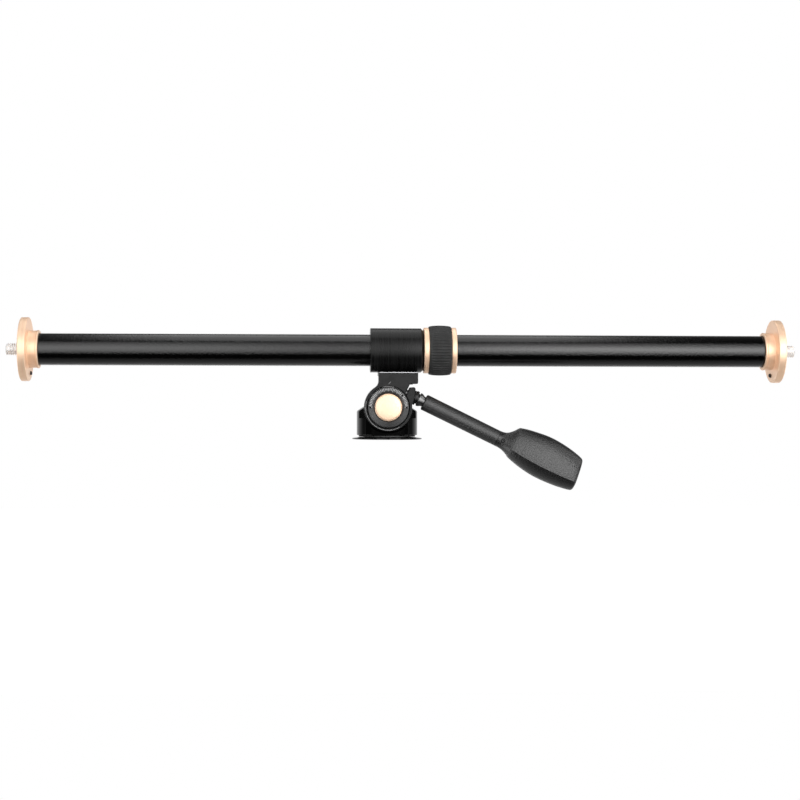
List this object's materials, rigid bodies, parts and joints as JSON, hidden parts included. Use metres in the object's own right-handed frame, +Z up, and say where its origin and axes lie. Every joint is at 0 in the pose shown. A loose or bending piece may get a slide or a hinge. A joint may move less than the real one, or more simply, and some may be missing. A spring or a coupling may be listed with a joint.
{
  "type": "tripod extension arm",
  "caption": "Horizontal tripod extension arm: a sliding column with threaded end plates in a tilting clamp yoke on a panning base, with a twist collar and a clamp handle.",
  "frame": {"origin": "centre of the base's underside, on the axis of the tripod screw", "axes": "+Z up along the pan axis, +X along the column towards the end on the handle's side, -Y towards the side with the dial"},
  "size_m": [0.624, 0.0709, 0.135],
  "materials": {
    "gloss_black": "gloss",
    "satin_black": "satin, turned",
    "tube_black": "gloss anodised",
    "cast_grey": "matte, fine texture",
    "textured_black": "pebbled matte",
    "rubber": "matte, ribbed",
    "gold_anodised": "satin anodised",
    "bright_steel": "bright",
    "grey_steel": "satin",
    "dark_steel": "blackened",
    "aluminium": "machined",
    "nylon": "satin"
  },
  "bodies": {
    "foot": {"foot_plate": "gloss_black", "thread_insert": "bright_steel", "pan_washer": "nylon"},
    "base": {"base_body": "gloss_black", "tilt_drum": "aluminium", "drum_bolt": "bright_steel", "drum_pin_1": "bright_steel", "drum_pin_2": "bright_steel", "dial_plate": "cast_grey", "dial_cap": "gold_anodised", "dial_screw_1": "bright_steel", "dial_screw_2": "bright_steel", "dial_screw_3": "bright_steel"},
    "pan_knob": {"pan_lock_knob": "gloss_black", "pan_lock_screw": "bright_steel"},
    "yoke": {"yoke": "cast_grey", "sleeve": "satin_black", "sleeve_screw_1": "bright_steel", "sleeve_screw_2": "bright_steel"},
    "handle": {"clamp_screw": "grey_steel", "thrust_washer": "dark_steel", "taper_collar": "grey_steel", "handle_rod": "textured_black", "handle_grip": "textured_black", "grip_screw": "bright_steel"},
    "collar": {"collar_nut": "gold_anodised", "collar_grip": "rubber"},
    "guide": {"split_collet": "nylon", "tube_bush": "nylon"},
    "column": {"column_tube": "tube_black", "end_plate_left": "gold_anodised", "end_plug_left": "aluminium", "stud_left": "bright_steel", "lock_screw_left_1": "dark_steel", "end_plate_right": "gold_anodised", "end_plug_right": "aluminium", "stud_right": "bright_steel", "lock_screw_right_1": "dark_steel"}
  },
  "joints": [
    {"name": "pan", "type": "hinge", "parent": "foot", "child": "base", "pos_m": [0, 0, 0], "axis": [0, 0, 1], "continuous": true},
    {"name": "pan_lock", "type": "hinge", "parent": "base", "child": "pan_knob", "pos_m": [0, 0.0241, 0.0133], "axis": [0, 1, 0], "range_deg": [0, 180]},
    {"name": "tilt", "type": "hinge", "parent": "base", "child": "yoke", "pos_m": [0, 0, 0.0253], "axis": [0, 1, 0], "range_deg": [-90, 28]},
    {"name": "handle_twist", "type": "hinge", "parent": "yoke", "child": "handle", "pos_m": [0.00717, -0.0169, 0.03994], "axis": [0.898, 0, -0.4399], "range_deg": [0, 180]},
    {"name": "collar_twist", "type": "hinge", "parent": "yoke", "child": "collar", "pos_m": [0, -0.009, 0.0703], "axis": [1, 0, 0], "range_deg": [0, 150]},
    {"name": "column_spin", "type": "hinge", "parent": "yoke", "child": "guide", "pos_m": [0, -0.009, 0.0703], "axis": [1, 0, 0], "continuous": true},
    {"name": "column_slide", "type": "slide", "parent": "guide", "child": "column", "axis": [1, 0, 0], "range_m": [-0.245, 0.258]}
  ]
}
